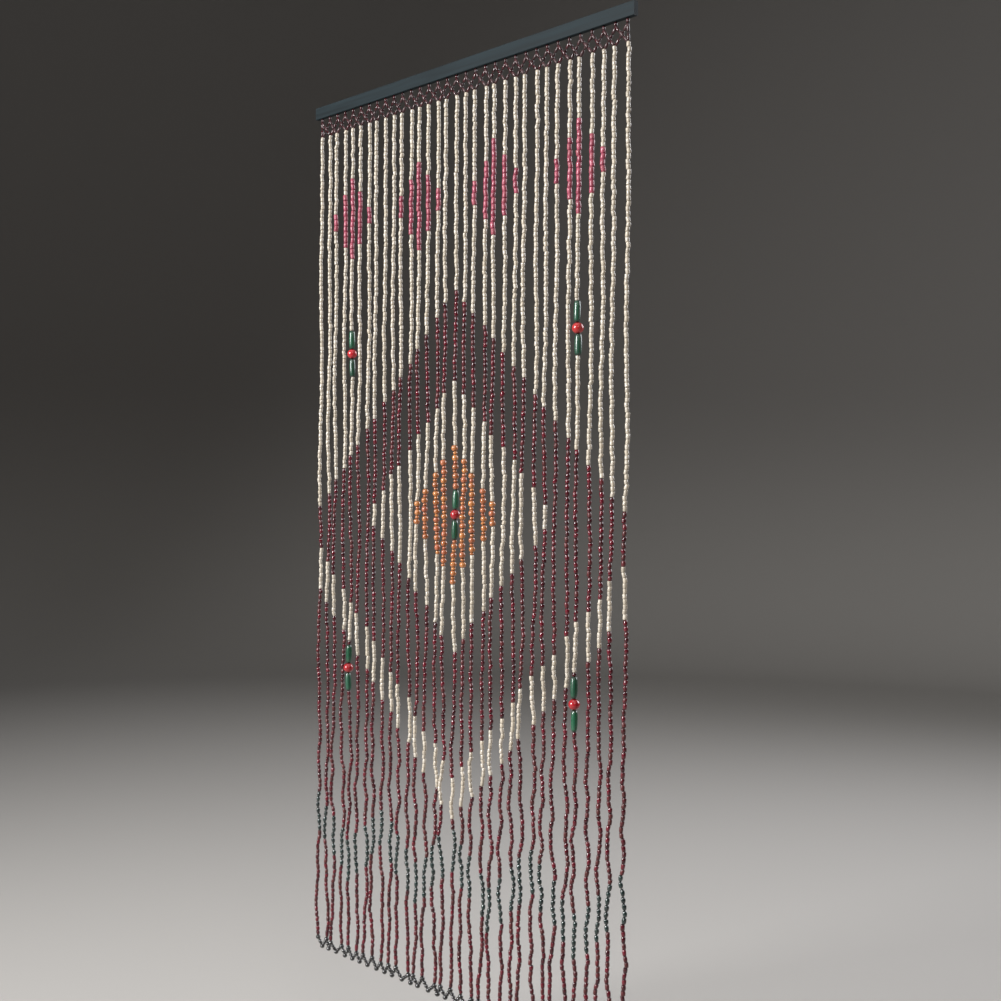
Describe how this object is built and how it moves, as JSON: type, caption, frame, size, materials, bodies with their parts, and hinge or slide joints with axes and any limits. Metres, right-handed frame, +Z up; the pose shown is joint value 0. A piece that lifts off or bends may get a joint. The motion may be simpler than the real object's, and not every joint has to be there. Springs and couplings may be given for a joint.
{
  "type": "bead curtain on a head rail",
  "caption": "Doorway curtain of bead strands hung from a crossed bead net under a plain head rail, with a zigzag bead border that links the strand ends.",
  "frame": {"origin": "middle of the head rail's flat back face", "axes": "+X along the rail, +Y out of the rail's back towards the wall, +Z up"},
  "size_m": [0.9, 0.023, 1.8],
  "materials": {
    "rail_paint": "satin dark grey paint",
    "maroon_bead": "turned wood, high gloss lacquer",
    "black_bead": "high gloss",
    "cream_bead": "turned wood, satin paint",
    "pink_bead": "turned wood, gloss paint",
    "teal_bead": "turned wood, gloss lacquer",
    "orange_bead": "turned wood, gloss stain",
    "red_bead": "turned wood, gloss paint",
    "green_bead": "turned wood, gloss paint",
    "thread": "twisted nylon"
  },
  "bodies": {
    "root": {"head_rail": "rail_paint", "strand_curtain": "maroon_bead", "hem_border": "black_bead"}
  },
  "joints": []
}
